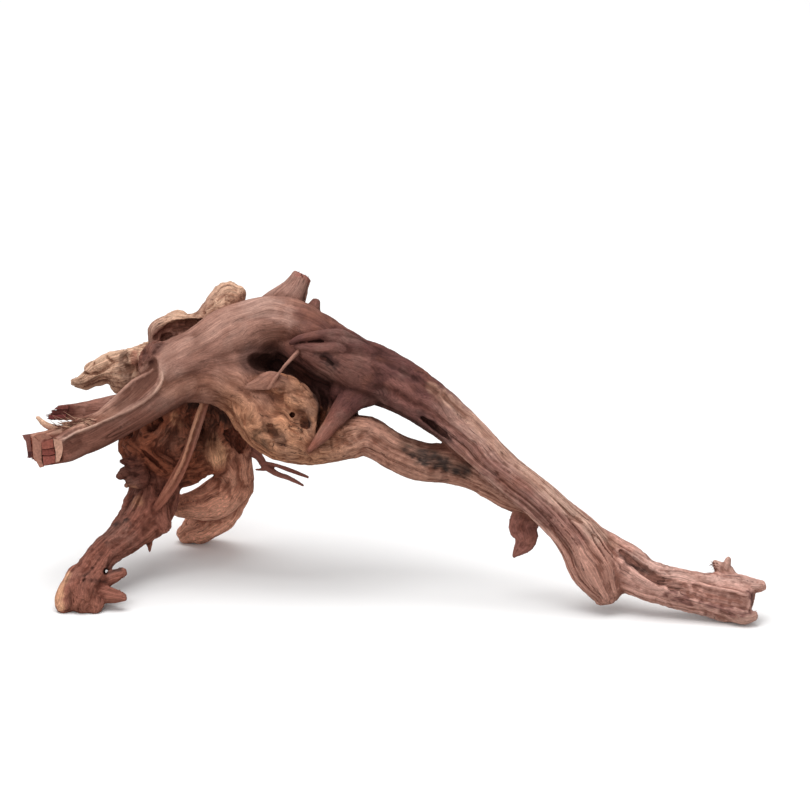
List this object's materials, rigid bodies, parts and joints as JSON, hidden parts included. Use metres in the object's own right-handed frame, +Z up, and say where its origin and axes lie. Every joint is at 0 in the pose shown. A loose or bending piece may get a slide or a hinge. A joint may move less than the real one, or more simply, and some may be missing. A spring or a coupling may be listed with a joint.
{
  "type": "driftwood root",
  "caption": "Weathered driftwood root: a forked limb arches from a gnarled trunk on two legs down to a far tip, as decor or a perch.",
  "frame": {"origin": "on the surface that the root rests on, below the middle of its bounding box", "axes": "+X along the root from the broken arm to the far tip, +Y away from the front view, +Z up"},
  "size_m": [0.5953, 0.2047, 0.2415],
  "materials": {
    "driftwood": "dry weathered wood, bare, rough, grey-brown to tan with dark cracks"
  },
  "bodies": {
    "root": {"driftwood_root": "driftwood"}
  },
  "joints": []
}
